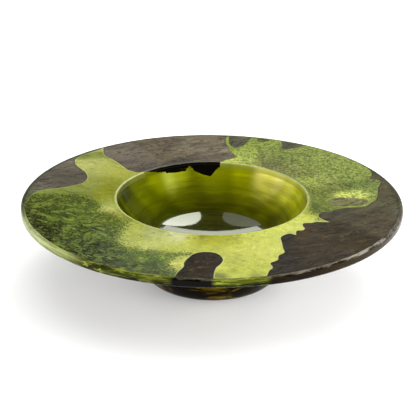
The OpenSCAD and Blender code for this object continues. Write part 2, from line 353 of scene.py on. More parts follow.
def turned_piece(node, section, a0, a1, shape=None):
    """A piece turned about Z from a closed section of (radius, height), between two angles.

    shape(r, z, angle) gives the changed radius and height of a point."""
    full = a1 - a0 > 359.9
    steps = max(2, int(round(TURN_STEPS * (a1 - a0) / 360)))
    count = steps if full else steps + 1
    verts = []
    m = len(section)
    for k in range(count):
        a = math.radians(a0 + (a1 - a0) * k / steps)
        for r, z in section:
            if shape:
                r, z = shape(r, z, a)
            verts.append((r * math.cos(a), r * math.sin(a), z))
    turns = [(k * m, (k + 1) % count * m) for k in range(steps)]
    sides = [(i, (i + 1) % m) for i in range(m)]
    faces = [(a + i, b + i, b + j, a + j) for a, b in turns for i, j in sides]
    if not full:
        faces.append(tuple(range(m)))
        faces.append(tuple((count - 1) * m + i for i in reversed(range(m))))
    piece = stand_in(node, verts, faces)
    piece.data.polygons.foreach_set("use_smooth", [True] * len(faces))
    piece.data.set_sharp_from_angle(angle=math.radians(42))
    return piece


# -------------------- camera, light and floor


def aim(thing, target, roll=0.0):
    direction = Vector(target) - thing.location
    thing.rotation_euler = direction.to_track_quat("-Z", "Y").to_euler()
    if roll:
        thing.rotation_euler.rotate_axis("Z", math.radians(roll))


def make_camera():
    """The photo's view: a long lens, well above the brim, with the horizon nearly level."""
    elevation = math.radians(22.2)
    away = 7.0 * RIM_R
    aimed_at = (-0.0020, 0, BRIM_Z - 0.0142)
    lens = bpy.data.cameras.new("camera")
    camera = put("camera", lens)
    camera.location = (0, -away * math.cos(elevation), BRIM_Z + away * math.sin(elevation))
    lens.sensor_width = 36.0
    lens.lens = 113.9
    lens.clip_end = 50
    aim(camera, aimed_at, roll=0.48)
    bpy.context.scene.camera = camera


def soft_box(name, at, target, width, height, radiance, colour=(1, 1, 1), shape="RECTANGLE"):
    """A flat soft light of a stated radiance."""
    data = bpy.data.lights.new(name, "AREA")
    data.shape = shape
    data.size = width
    data.size_y = height
    data.energy = radiance * math.pi * width * height
    data.color = colour
    light = put(name, data)
    light.location = at
    aim(light, target)
    return light


def from_centre(azimuth, elevation, away):
    """A place at a bearing clockwise from straight behind the bowl."""
    a, e = math.radians(azimuth), math.radians(elevation)
    return (away * math.cos(e) * math.sin(a), away * math.cos(e) * math.cos(a),
            BRIM_Z + away * math.sin(e))


def light_studio():
    scene = bpy.context.scene
    scene.view_settings.view_transform = "Standard"
    scene.world = studio_sky()
    centre = (0, 0, BRIM_Z)
    # Wide, even light that leaves no mark on the gloss.
    soft = [soft_box("overhead", (0.2, 0.1, 2.4), centre, 3.0, 3.0, 1.6)]
    for name, bearing, radiance in (("soft_front", 180, 6.0), ("soft_left", 270, 3.5),
                                    ("soft_right", 90, 8.4), ("soft_back", 0, 3.4)):
        soft.append(soft_box(name, from_centre(bearing, 16, 2.6), centre, 3.4, 1.5, radiance))
    for light in soft:
        light.visible_glossy = False
    # Small boxes behind the bowl, which the gloss shows as its highlights.
    for name, bearing, height, wide, tall, radiance in (
            ("box_right", 13, 41, 0.56, 0.90, 4.6), ("box_left", -13, 41, 0.56, 0.90, 0.6),
            ("box_low", 0, 28, 0.60, 0.23, 3.0)):
        soft_box(name, from_centre(bearing, height, 2.2), centre, wide, tall, radiance,
                 (0.95, 1.0, 0.84), "ELLIPSE" if tall > 0.5 else "RECTANGLE")


def studio_sky():
    """A pale backdrop low down that darkens overhead."""
    world = bpy.data.worlds.new("studio")
    world.use_nodes = True
    tree = world.node_tree
    back = tree.nodes["Background"]
    coords = tree.nodes.new("ShaderNodeTexCoord")
    parts = tree.nodes.new("ShaderNodeSeparateXYZ")
    ramp = tree.nodes.new("ShaderNodeValToRGB")
    tree.links.new(coords.outputs["Generated"], parts.inputs[0])
    tree.links.new(parts.outputs["Z"], ramp.inputs[0])
    tree.links.new(ramp.outputs["Color"], back.inputs["Color"])
    stops = ((0.0, 1.0), (0.10, 0.7), (0.20, 0.22), (0.32, 0.14), (0.55, 0.04), (1.0, 0.02))
    ramp.color_ramp.elements[0].position = stops[0][0]
    ramp.color_ramp.elements[1].position = stops[-1][0]
    for place, _ in stops[1:-1]:
        ramp.color_ramp.elements.new(place)
    for element, (_, level) in zip(ramp.color_ramp.elements, stops):
        element.color = (level, level * 0.985, level * 0.94, 1)
    return world


def lay_floor():
    rings, steps = (0.0, 0.3, 0.8, 2.0, 6.0), 96
    turns = [2 * math.pi * k / steps for k in range(steps)]
    verts = [(r * math.cos(a), r * math.sin(a), 0) for r in rings for a in turns]
    faces = []
    for j in range(len(rings) - 1):
        for k in range(steps):
            n = (k + 1) % steps
            faces.append((j * steps + k, j * steps + n, (j + 1) * steps + n, (j + 1) * steps + k))
    mesh = bpy.data.meshes.new("floor")
    mesh.from_pydata(verts, [], faces)
    floor = put("floor", mesh)
    g = Glass("floor_paper")
    g.coat(g.mix(g.noise(400), (0.90, 0.90, 0.90), (0.93, 0.93, 0.93)), 0.6)
    g.wear(floor)


# -------------------- building materials


SHINE = 0.016             # what the gloss adds to a surface that is seen at a slant
LIGHT = 0.475             # how light a surface has to be to show as full white in this light


def tint(r, g, b):
    """The colour of a surface that looks so, in screen values from 0 to 255, in this light."""
    seen = [((c / 255 + 0.055) / 1.055) ** 2.4 if c > 10 else c / 255 / 12.92 for c in (r, g, b)]
    return tuple(LIGHT * max(s - SHINE, 0.2 * s) for s in seen)


class Glass:
    """A procedural glass material, put together node by node."""

    def __init__(self, name):
        self.material = bpy.data.materials.new(name)
        self.material.use_nodes = True
        self.tree = self.material.node_tree
        self.tree.nodes.clear()
        out = self.add("ShaderNodeOutputMaterial")
        self.shader = self.add("ShaderNodeBsdfPrincipled", {"IOR": 1.5})
        self.tree.links.new(self.shader.outputs[0], out.inputs[0])
        self.coords = self.add("ShaderNodeTexCoord").outputs["Object"]

    def add(self, kind, plugs=None, **settings):
        """A node, with what goes into its sockets and how it is set."""
        node = self.tree.nodes.new(kind)
        for key, value in settings.items():
            setattr(node, key, value)
        for key, value in (plugs or {}).items():
            self.plug(node.inputs[key], value)
        return node

    def plug(self, socket, value):
        if isinstance(value, bpy.types.NodeSocket):
            self.tree.links.new(value, socket)
        elif isinstance(value, tuple) and len(value) == 3 and len(socket.default_value) == 4:
            socket.default_value = value + (1.0,)
        else:
            socket.default_value = value

    def set(self, key, value):
        self.plug(self.shader.inputs[key], value)

    def attribute(self, key, part="Fac"):
        return self.add("ShaderNodeAttribute", attribute_name=key).outputs[part]

    def math(self, operation, a, b=0.0):
        return self.add("ShaderNodeMath", {0: a, 1: b}, operation=operation).outputs[0]

    def times(self, a, b):
        return self.math("MULTIPLY", a, b)

    def minus(self, a, b):
        return self.math("SUBTRACT", a, b)

    def gap(self, value, centre):
        """How far a value is from a centre."""
        return self.math("ABSOLUTE", self.minus(value, centre))

    def stirred(self, value, noise, amount):
        """A value made ragged by a noise."""
        return self.math("ADD", value, self.times(self.minus(noise, 0.5), amount))

    def span(self, value, low, high, out_low=0.0, out_high=1.0):
        """value from low to high, eased, carried to out_low to out_high."""
        return self.add("ShaderNodeMapRange", {"Value": value, "From Min": low, "From Max": high,
                                               "To Min": out_low, "To Max": out_high},
                        interpolation_type="SMOOTHSTEP").outputs[0]

    def mix(self, factor, a, b):
        plugs = {"Factor": factor, 6: a, 7: b}
        return self.add("ShaderNodeMix", plugs, data_type="RGBA").outputs[2]

    def over(self, colour, top, value, low, high, share=1.0):
        """A colour with another over it, up to a share, where a value goes from low to high."""
        return self.mix(self.span(value, low, high, 0.0, share), colour, top)

    def layers(self, colour, tone, *layers):
        """Shades of a tone over a colour, as (value, low, high, share, level of the shade)."""
        for value, low, high, share, level in layers:
            colour = self.over(colour, self.shade(tone, level), value, low, high, share)
        return colour

    def place(self):
        """Coordinates, as three numbers."""
        return self.add("ShaderNodeSeparateXYZ", {0: self.coords}).outputs

    def radius(self):
        x, y, _ = self.place()
        return self.math("SQRT", self.math("ADD", self.times(x, x), self.times(y, y)))

    def polar(self, per_turn, per_radius, per_height):
        """Coordinates that run round the bowl, out from its axis and up."""
        x, y, z = self.place()
        turn = self.times(self.math("ARCTAN2", y, x), per_turn)
        joined = {0: turn, 1: self.times(self.radius(), per_radius), 2: self.times(z, per_height)}
        return self.add("ShaderNodeCombineXYZ", joined).outputs[0]

    def noise(self, wavelength_mm, detail=3.0, rough=0.5, vector=None, seed=0.0, distortion=0.0):
        return self.add("ShaderNodeTexNoise", {
            "Vector": vector or self.coords, "W": seed, "Scale": 1000.0 / wavelength_mm,
            "Detail": detail, "Roughness": rough, "Distortion": distortion,
        }, noise_dimensions="4D").outputs["Fac"]

    def cells(self, size_mm):
        return self.add("ShaderNodeTexVoronoi", {"Vector": self.coords, "Scale": 1000.0 / size_mm},
                        feature="SMOOTH_F1").outputs["Distance"]

    def grey(self, value):
        """A number carried as a colour."""
        return self.add("ShaderNodeCombineColor", {0: value, 1: value, 2: value}).outputs[0]

    def shade(self, colour, level):
        """A colour made darker or lighter."""
        return self.add("ShaderNodeVectorMath", {0: colour, "Scale": level},
                        operation="SCALE").outputs[0]

    def turned(self, degrees, along):
        """Coordinates turned about Z and stretched along X, for slanting streaks."""
        return self.add("ShaderNodeMapping", {
            "Vector": self.coords, "Rotation": (0, 0, math.radians(degrees)),
            "Scale": (1 / along, 1, 1)}, vector_type="TEXTURE").outputs[0]

    def far_from(self, angle, radius_mm):
        """Distance, seen from above, from a place on the brim."""
        flat = self.add("ShaderNodeVectorMath", {0: self.coords, 1: (1, 1, 0)},
                        operation="MULTIPLY").outputs[0]
        return self.add("ShaderNodeVectorMath", {0: flat, 1: (*flat_place(angle, radius_mm), 0)},
                        operation="DISTANCE").outputs["Value"]

    def bump(self, height, depth_mm, strength, under=None):
        """Relief for the shading, laid over another one."""
        plugs = {"Strength": strength, "Distance": depth_mm * MM, "Height": height}
        if under:
            plugs["Normal"] = under
        return self.add("ShaderNodeBump", plugs).outputs[0]

    def coat(self, colour, roughness, normal=None, gloss=0.5):
        """Joins the look to the shader; gloss is how strongly the surface shines."""
        self.set("Base Color", colour)
        self.set("Roughness", roughness)
        self.set("Specular IOR Level", gloss)
        if normal:
            self.set("Normal", normal)

    def wear(self, *pieces):
        for piece in pieces:
            piece.data.materials.clear()
            piece.data.materials.append(self.material)


# -------------------- listed colour

# Spots of colour, as (angle, radius in mm, spread in mm, red, green, blue): each tints the glass
# round it.
# In the lime list, the near-white spots by the mouth at 240–252° and the pale spot at 197° are
# painted highlight.
LIME_SPOTS_WITH_HIGHLIGHT = [
    (141, 188, 7, 132, 150, 62), (137, 179, 6, 150, 164, 72), (134, 170, 5, 140, 156, 70),
    (272.5, 190, 5, 124, 134, 50), (276.5, 181, 4, 150, 158, 60), (282, 193, 4, 146, 156, 64),
    (145, 168, 16, 210, 212, 120), (150, 150, 16, 194, 198, 108), (142, 140, 14, 202, 206, 92),
    (148, 124, 12, 192, 196, 78), (158, 128, 14, 163, 169, 56), (160, 148, 14, 165, 171, 90),
    (168, 116, 12, 157, 161, 42), (166, 138, 14, 161, 169, 80), (172, 158, 16, 154, 167, 80),
    (180, 116, 12, 163, 167, 52), (180, 145, 16, 130, 144, 62), (188, 112, 8, 181, 190, 84),
    (197, 118, 9, 210, 216, 118), (208, 112, 9, 175, 181, 78), (216, 114, 8, 150, 157, 52),
    (224, 118, 10, 187, 196, 84), (232, 128, 14, 202, 210, 96), (240, 110, 9, 220, 225, 140),
    (246, 122, 12, 212, 218, 118), (252, 110, 9, 233, 235, 168), (255, 134, 12, 206, 213, 87),
    (260, 112, 8, 210, 212, 78), (266, 112, 8, 176, 175, 33), (276, 112, 8, 180, 183, 40),
    (270, 124, 10, 206, 210, 69), (282, 118, 10, 210, 214, 74), (262, 168, 10, 225, 229, 107),
    (280, 145, 14, 218, 221, 90), (278, 178, 16, 210, 215, 81), (288, 135, 12, 225, 228, 102),
    (291, 118, 9, 216, 221, 87), (302, 112, 9, 216, 222, 88), (318, 112, 9, 222, 227, 98),
    (330, 114, 9, 216, 222, 95), (340, 111, 8, 176, 187, 73), (355, 110, 8, 145, 157, 77),
    (20, 110, 8, 128, 142, 76), (45, 110, 8, 115, 126, 70), (66, 110, 8, 175, 187, 100),
    (80, 110, 8, 187, 200, 98),
]
FRIT_SPOTS = [
    (184, 184, 14, 99, 109, 50), (184, 164, 14, 109, 124, 49), (183, 142, 12, 113, 130, 42),
    (196, 192, 10, 64, 62, 32), (206, 194, 10, 59, 57, 27), (194, 176, 12, 88, 103, 41),
    (206, 176, 12, 70, 79, 33), (196, 156, 12, 100, 117, 45), (206, 156, 12, 93, 113, 41),
    (194, 136, 10, 132, 153, 52), (203, 134, 10, 126, 145, 47), (212, 124, 9, 142, 156, 44),
    (218, 186, 12, 64, 72, 29), (216, 166, 12, 68, 83, 33), (216, 146, 12, 81, 99, 37),
    (220, 128, 9, 114, 131, 40), (226, 170, 12, 55, 67, 26), (226, 150, 10, 92, 112, 38),
    (230, 188, 10, 58, 67, 24), (236, 168, 12, 57, 71, 21), (238, 186, 10, 57, 69, 20),
    (246, 178, 12, 78, 98, 25), (246, 160, 10, 125, 155, 38), (254, 176, 10, 78, 98, 24),
    (254, 156, 9, 146, 175, 43), (252, 190, 8, 60, 73, 18), (240, 150, 8, 116, 137, 36),
    (14, 188, 10, 135, 148, 84), (10, 168, 12, 146, 162, 84), (14, 154, 12, 119, 137, 68),
    (12, 136, 12, 136, 146, 72), (8, 120, 9, 136, 148, 68), (24, 122, 10, 173, 185, 87),
    (24, 136, 10, 166, 176, 89), (24, 160, 14, 157, 173, 86), (36, 178, 15, 164, 179, 92),
    (40, 150, 14, 155, 170, 84), (40, 126, 12, 150, 158, 84), (56, 184, 12, 162, 177, 88),
    (58, 158, 14, 146, 161, 80), (60, 132, 12, 138, 146, 80), (58, 118, 9, 129, 131, 76),
    (72, 176, 10, 157, 173, 80), (76, 150, 10, 169, 185, 84), (74, 132, 10, 180, 196, 94),
    (80, 116, 9, 218, 233, 100), (44, 116, 8, 145, 145, 88), (66, 114, 8, 186, 201, 92),
    (350, 120, 9, 139, 154, 70), (342, 116, 8, 149, 161, 74), (5, 142, 8, 233, 244, 118),
    (7, 158, 8, 228, 239, 124), (350, 140, 6, 171, 185, 90), (352, 170, 8, 171, 182, 96),
]
# The dark spots are lighter grey at the rear, about 85–175°, than at the front: partly the glass's
# own brown-grey, partly a painted sheen where the dark glass reflects the pale backdrop at a slant.
DARK_SPOTS_WITH_SHEEN = [
    (88, 186, 18, 132, 119, 96), (96, 160, 20, 142, 130, 107), (110, 176, 20, 124, 111, 90),
    (126, 182, 18, 132, 122, 106), (112, 140, 16, 130, 118, 96), (128, 132, 14, 124, 113, 100),
    (94, 122, 14, 116, 105, 88), (110, 112, 12, 94, 83, 72), (128, 116, 10, 104, 94, 86),
    (150, 190, 12, 126, 119, 101), (160, 172, 16, 104, 98, 84), (166, 188, 14, 120, 112, 99),
    (175, 194, 12, 120, 119, 94), (266, 150, 14, 54, 43, 32), (267, 176, 14, 53, 43, 31),
    (266, 194, 8, 60, 50, 34), (290, 188, 12, 50, 40, 27), (294, 170, 12, 53, 42, 27),
    (298, 148, 10, 51, 42, 31), (304, 128, 10, 49, 39, 28), (306, 184, 14, 63, 49, 31),
    (310, 160, 14, 69, 53, 32), (314, 136, 12, 76, 58, 36), (322, 180, 14, 66, 54, 33),
    (326, 156, 14, 64, 52, 33), (328, 134, 10, 62, 52, 33), (338, 180, 16, 93, 82, 62),
    (342, 150, 14, 90, 82, 63), (342, 126, 10, 80, 73, 57), (352, 188, 14, 101, 95, 71),
    (2, 190, 12, 97, 91, 67), (20, 196, 10, 95, 91, 67),
]
# Spots of colour down the well's wall, as in the lists for the brim. They hold painted light: a
# painted highlight under the lip at the rear right, about 30–55°, and painted shade that darkens
# the wall lower down and at the left.
WALL_SPOTS_WITH_PAINTED_LIGHT = [
    (88, 97, 10, 132, 138, 6), (70, 97, 8, 142, 146, 14), (55, 98, 7, 224, 214, 112),
    (42, 98, 7, 222, 212, 120), (30, 98, 6, 210, 208, 88), (48, 92, 10, 204, 202, 76),
    (30, 92, 9, 192, 192, 62), (15, 94, 9, 170, 174, 30), (0, 94, 9, 136, 140, 6),
    (60, 84, 12, 132, 134, 8), (35, 80, 12, 124, 126, 6), (10, 80, 12, 100, 102, 2),
    (85, 84, 12, 100, 104, 2), (75, 70, 12, 74, 76, 0), (90, 66, 12, 66, 66, 0),
    (50, 66, 12, 72, 74, 0), (20, 66, 12, 78, 80, 0), (110, 84, 12, 100, 104, 4),
    (105, 68, 12, 64, 66, 0), (112, 95.5, 6, 160, 166, 44), (120, 94, 6, 172, 178, 70),
    (130, 95, 8, 126, 132, 8), (145, 96, 8, 92, 98, 2), (140, 86, 10, 92, 98, 2),
    (135, 72, 10, 66, 70, 0), (165, 96, 8, 52, 56, 0), (165, 86, 10, 78, 82, 2),
    (165, 72, 10, 70, 74, 0), (185, 97, 8, 40, 44, 0), (185, 84, 10, 66, 70, 0),
    (215, 90, 20, 80, 84, 2), (250, 85, 30, 90, 94, 2), (290, 85, 30, 90, 94, 2),
    (330, 88, 20, 96, 98, 2), (345, 76, 12, 88, 90, 2),
]
# Rings left in the frit by bubbles: angle, radius, size in mm.
RINGS = [(214, 172, 3.6), (219, 187, 3.4), (226.5, 186, 3.2), (221, 173, 2.6), (236, 190, 2.6)]
# Craters that bubbles have left on the glass: angle, radius, size in mm.
CRATERS = [
    (147, 184, 2.6), (146, 178, 1.8), (235.5, 125, 2.4), (219, 123, 1.8), (248, 109, 1.5),
    (258, 109.5, 1.6), (261, 110, 1.2), (265, 109, 1.2), (158, 150, 2.0), (162, 152, 1.6),
    (161, 128, 2.2), (239, 112, 1.4), (133, 122, 1.8), (283, 109, 1.0), (292, 108.5, 1.1),
]


def flat_place(angle, radius_mm):
    a = math.radians(angle)
    return np.array([radius_mm * MM * math.cos(a), radius_mm * MM * math.sin(a)])


def spot_tint(spots, level=1.0, spread=1.0):
    """A function that gives the colour that the spots make at a place."""
    places = np.array([flat_place(a, r) for a, r, *_ in spots])
    spreads = np.array([spot[2] * MM * spread for spot in spots])
    colours = np.array([tint(*spot[3:]) for spot in spots])

    def at(x, y, d=0):
        far = ((places[:, 0] - x) ** 2 + (places[:, 1] - y) ** 2) / spreads ** 2
        w = np.exp(-(far - far.min()))
        return level * (w @ colours) / w.sum()
    return at


# -------------------- the coloured inlays

DARKS = ("dark_rear", "dark_left", "dark_front", "dark_right")
CELLS = ("cell_round", "cell_small", "cell_wedge")
FRITS = ("frit_left", "frit_rear")
LIMES = ("lime_front", "lime_rear_left", "lime_halo")

lime_tone_and_highlight = spot_tint(LIME_SPOTS_WITH_HIGHLIGHT)
frit_tone = spot_tint(FRIT_SPOTS)
dark_tone_and_sheen = spot_tint(DARK_SPOTS_WITH_SHEEN)


def nearest_of(nodes):
    trees = [outline_of(n)[1] for n in nodes]
    return lambda x, y, d=0: min(distance(t, x, y) for t in trees) / MM


def in_front_half(x, y):
    """1 in the soft-edged frit at the left and front, 0 in the crisper frit at the rear right."""
    return float(smooth((-0.4 * x - y + 0.06) / 0.05))


near_dark = nearest_of(DARKS + CELLS)
near_frit = nearest_of(FRITS)
near_lime = nearest_of(LIMES)


def frit_depth(sign):
    """How far a place lies inside the frit, in widths of the frit's fading edge."""
    near = near_lime if sign > 0 else near_frit

    def at(x, y, d=0):
        front = in_front_half(x, y)
        return sign * near(x, y) / (3.0 + 7.0 * front)
    return at


def ground_paint(piece, sign=-1):
    """Stores what the ground's material needs at each point of a piece."""
    places = [(v.co.x, v.co.y) for v in piece.data.vertices]
    for key, value in (("lime", lime_tone_and_highlight), ("frit", frit_tone), ("depth", frit_depth(sign)),
                       ("dark_mm", near_dark), ("front", in_front_half)):
        store(piece.data, key, [value(x, y) for x, y in places])


DENTS = [(flat_place(a, r), size * MM) for a, r, size in CRATERS]


def dents(x, y):
    """Craters of burst bubbles: a shallow cup inside a low ring."""
    out = 0.0
    for place, size in DENTS:
        far = math.hypot(x - place[0], y - place[1]) / size
        if far < 2.2:
            out += -0.60 * math.exp(-far * far * 1.6) + 0.34 * math.exp(-((far - 1.25) / 0.4) ** 2)
    return out


def dark_relief(x, y, d):
    """The dark glass stands a little proud, with fine wrinkles that die away at its outline."""
    fade = float(smooth(d / (5 * MM)))
    along = 0.8 * x + 0.6 * y
    across = -0.6 * x + 0.8 * y
    folds = abs(swell(along * 0.5, across, 0.016, 2.2)) + 0.3 * abs(swell(x, y, 0.007, 9.4))
    return (0.26 * fade - 0.75 * folds * fade + dents(x, y) * fade) * MM


def frit_relief(x, y, d):
    fade = float(smooth(d / (3 * MM)))
    bumps = 0.14 * swell(x, y, 0.005, 4.4) + 0.12 * swell(x, y, 0.011, 6.1)
    return (bumps + dents(x, y)) * fade * MM


def lime_relief(x, y, d):
    fade = float(smooth(d / (4 * MM)))
    return (0.12 * swell(x, y, 0.010, 8.3) + dents(x, y)) * fade * MM


def plate_back(x, y):
    return PLATE_Z


def dark_material(name, rough=0.30):
    """Smoky dark glass, with slanting streaks, a few pale threads, and creases drawn with painted
    shade and a painted lit edge.
    """
    g = Glass(name)
    tone = g.attribute("tone", "Color")
    cloud = g.noise(30, 4, 0.6, seed=1.5)
    grain = g.noise(2.6, 3, 0.6, seed=4.0)
    slant = g.turned(34, 0.45)
    streak = g.noise(17, 4, 0.5, vector=slant, seed=2.5, distortion=1.0)
    wisps = g.noise(24, 3, 0.5, vector=slant, seed=7.5, distortion=2.2)
    wrinkle = g.noise(14, 4, 0.6, vector=g.turned(28, 0.4), seed=3.6, distortion=1.4)
    crease = g.gap(wrinkle, 0.5)
    threads = g.times(g.span(g.gap(wisps, 0.5), 0.014, 0.003, 0.0, 0.7), g.span(cloud, 0.48, 0.58))
    colour = g.layers(tone, tone, (cloud, 0.40, 0.72, 0.4, 0.45), (streak, 0.48, 0.36, 0.65, 0.3),
                      (streak, 0.54, 0.62, 0.5, 1.7))
    colour = g.mix(threads, colour, tint(146, 126, 84))
    # Painted shade and highlight of the folds: a dark line along each crease and a light line
    # beside it.
    colour = g.layers(colour, tone, (grain, 0.5, 0.75, 0.2, 0.5), (crease, 0.040, 0.0, 0.75, 0.25),
                      (g.gap(crease, 0.055), 0.02, 0.0, 0.55, 1.9))
    rim = g.span(g.attribute("edge_mm"), 0.2, 1.8, 0.7, 0.0)
    colour = g.mix(rim, colour, g.shade(tone, 0.28))
    folded = g.bump(wrinkle, 1.1, 0.8, under=g.bump(g.cells(2.4), 0.05, 0.4))
    g.coat(colour, g.span(cloud, 0.3, 0.75, rough - 0.06, rough + 0.12),
           g.bump(streak, 2.4, 0.9, under=folded), 0.05)
    return g


def ground_material(name, crest=False):
    """Lime glass that gives way to dark green frit, through a belt of loose specks."""
    g = Glass(name)
    lime = g.attribute("lime", "Color")
    frit = g.attribute("frit", "Color")
    depth = g.attribute("depth")
    front = g.attribute("front")
    cloud = g.noise(17, 4, 0.55, seed=0.7)
    slant = g.turned(-38, 0.22)
    streak = g.noise(10, 5, 0.6, vector=slant, seed=1.9, distortion=0.5)
    fine = g.noise(1.9, 3, 0.7, seed=3.3)
    grain = g.noise(2.7, 4, 0.65, seed=6.2, distortion=0.6)
    medium = g.noise(7, 5, 0.62, seed=5.1, distortion=0.7)
    mottle = g.noise(4.5, 4, 0.6, seed=7.1, distortion=0.8)
    olive = g.noise(22, 5, 0.62, seed=4.6, distortion=1.1)
    # The lime glass: cloudy and mottled, with thin olive streaks; its lime colour carries the
    # painted highlight by the mouth.
    colour = g.layers(lime, lime, (cloud, 0.54, 0.74, 0.4, 1.28), (cloud, 0.46, 0.26, 0.45, 0.62),
                      (streak, 0.54, 0.66, 0.5, 0.5), (mottle, 0.54, 0.64, 0.45, 0.55),
                      (mottle, 0.46, 0.36, 0.6, 1.4), (olive, 0.52, 0.66, 0.45, 0.5))
    # The frit: flecks of light green between dark grains, coarser at the left.
    fleck = g.mix(front, g.grey(g.span(grain, 0.40, 0.60)), g.grey(g.span(medium, 0.47, 0.62)))
    low = g.mix(front, g.shade(frit, 0.42), g.shade(frit, 0.48))
    bright = g.mix(0.45, g.shade(frit, 1.8), tint(156, 172, 66))
    grains = g.mix(fleck, low, g.mix(front, g.shade(frit, 1.42), bright))
    gloom = g.times(g.span(cloud, 0.52, 0.38, 0.0, 0.6), front)
    grains = g.mix(gloom, grains, g.shade(frit, 0.42))
    grains = g.over(grains, g.shade(frit, 0.3), fine, 0.54, 0.66, 0.5)
    spark = g.noise(3.2, 3, 0.6, vector=slant, seed=8.8, distortion=0.5)
    sparks = g.times(g.span(spark, 0.57, 0.66, 0.0, 0.8), front)
    grains = g.mix(sparks, grains, tint(164, 180, 84))
    thread = g.gap(g.noise(9, 5, 0.6, seed=9.0, distortion=1.5), 0.5)
    veins = g.times(g.span(thread, 0.03, 0.0, 0.0, 0.6), front)
    grains = g.mix(veins, grains, g.mix(0.5, frit, tint(150, 176, 70)))
    for angle, radius_mm, size in RINGS:
        off = g.far_from(angle, radius_mm)
        line = g.gap(off, size * MM)
        grains = g.over(grains, tint(122, 146, 74), line, 1.1 * MM, 0.2 * MM, 0.75)
        grains = g.over(grains, tint(112, 134, 60), off, 0.9 * MM, 0.3 * MM, 0.7)
    # The frit's ragged edge: a dark verge at the front, and loose specks outside it.
    ragged = g.stirred(depth, medium, 2.6)
    colour = g.over(colour, grains, ragged, -0.45, 0.8)
    verge = g.times(g.span(g.gap(ragged, 0.55), 0.9, 0.1, 0.0, 0.5), front)
    colour = g.mix(verge, colour, g.mix(fleck, tint(112, 130, 44), tint(168, 182, 74)))
    limit = g.span(depth, -2.4, 0.5, 0.76, 0.50)
    specks = g.span(g.minus(fine, limit), -0.01, 0.02, 0.0, 0.9)
    belt = g.times(specks, g.span(depth, 2.6, 1.2))
    colour = g.mix(belt, colour, g.mix(0.5, tint(48, 66, 20), g.shade(frit, 0.5)))
    if crest:
        # The lip: pale along its crest, where the near-white part is a painted highlight, and
        # inside it the colour of the well, with the well's painted highlight and painted shade.
        radius = g.radius()
        run = g.noise(6, 4, 0.6, seed=2.0)
        pale = g.over(tint(196, 204, 108), tint(232, 236, 176), run, 0.35, 0.65, 0.7)
        colour = g.over(colour, pale, radius, MOUTH_R + 3.6 * MM, MOUTH_R + 2.2 * MM, 0.9)
        colour = g.over(colour, g.attribute("wall", "Color"), radius,
                        MOUTH_R + 1.3 * MM, MOUTH_R + 0.6 * MM, 0.85)
    else:
        # The brim: a light line along the dark pieces, and a ring round each crater.
        line = g.over(tint(214, 220, 136), tint(160, 176, 82), depth, -0.2, 0.6)
        colour = g.over(colour, line, g.gap(g.attribute("dark_mm"), 0.6), 0.75, 0.2, 0.65)
        for angle, radius_mm, size in CRATERS:
            off = g.far_from(angle, radius_mm)
            line = g.gap(off, size * MM)
            colour = g.over(colour, tint(104, 118, 32), line, 0.7 * MM, 0.1 * MM, 0.6)
            colour = g.over(colour, tint(214, 222, 130), off, 0.8 * size * MM, 0.3 * size * MM, 0.5)
    ripple = g.bump(medium, 0.30, 0.35)
    g.coat(colour, g.span(medium, 0.3, 0.7, 0.16, 0.27),
           g.bump(fine, 0.10, 0.35, under=ripple), 0.08)
    return g


def lay_inlays():
    dark = dark_material("dark_glass")
    for node in DARKS:
        piece = sheet_piece(node, brim_surface, plate_back, dark_relief,
                            {"tone": dark_tone_and_sheen, "edge_mm": lambda x, y, d: d / MM})
        dark.wear(piece)
    ground = ground_material("ground_glass")
    for node, relief, sign in (("frit_left", frit_relief, 1), ("frit_rear", frit_relief, 1),
                               ("lime_front", lime_relief, -1), ("lime_rear_left", lime_relief, -1),
                               ("lime_halo", lime_relief, -1), ("pale_patch", frit_relief, 1)):
        piece = sheet_piece(node, brim_surface, plate_back, relief)
        ground_paint(piece, sign)
        ground.wear(piece)
    cell_tones = {"cell_round": (98, 96, 74), "cell_small": (108, 116, 72),
                  "cell_wedge": (98, 96, 74), "lens_right": (136, 134, 88)}
    cell = dark_material("cell_glass", 0.28)
    for node, colour in cell_tones.items():
        own = tint(*colour)
        piece = sheet_piece(node, brim_surface, plate_back, frit_relief,
                            {"tone": lambda x, y, d, own=own: own,
                             "edge_mm": lambda x, y, d: d / MM + 0.8})
        cell.wear(piece)


# -------------------- lip, edge, well, underside


def lip_section():
    """The lip in section: a low swell that comes off the brim and turns over into the well."""
    crest_r = MOUTH_R + LIP_CREST
    crest_z = LIP_TOP_Z - LIP_SPARE
    turn_z = crest_z - LIP_TURN
    foot_z = BRIM_Z + LIP_RISE
    steps = 9
    out = [(MOUTH_R, LIP_LOW_Z), (LIP_OUT_R, LIP_LOW_Z)]
    out += [(LIP_OUT_R + (crest_r - LIP_OUT_R) * t, foot_z + (crest_z - foot_z) * float(smooth(t)))
            for t in [k / steps for k in range(steps + 1)]]
    out += [(crest_r - (crest_r - MOUTH_R) * math.sin(t), turn_z + LIP_TURN * math.cos(t))
            for t in [math.pi / 2 * k / steps for k in range(1, steps + 1)]]
    out += [(MOUTH_R, LIP_LOW_Z + (turn_z - LIP_LOW_Z) * t) for t in (0.75, 0.5, 0.25)]
    return out


def lift_at_lip(a):
    return brim_lift(LIP_OUT_R * math.cos(a), LIP_OUT_R * math.sin(a))


LIP_RISE = float(np.mean([lift_at_lip(math.radians(d)) for d in range(0, 360, 6)]))


def lip_shape(r, z, a):
    """Keeps the lip's foot on the waving brim and ripples its crest."""
    x, y = r * math.cos(a), r * math.sin(a)
    crest_r = MOUTH_R + LIP_CREST
    high = float(smooth((z - LIP_LOW_Z) / (BRIM_Z - LIP_LOW_Z)))
    out = float(smooth((r - crest_r) / (LIP_OUT_R - crest_r)))
    wave = lift_at_lip(a) - LIP_RISE
    ripple = (0.10 * swell(x, y, 0.012, 1.3) - 0.05) * MM * (1 - out)
    return r, z + (wave * out + ripple) * high


DARK_LIP = (85.0, 138.0)  # the angles between which the lip is dark


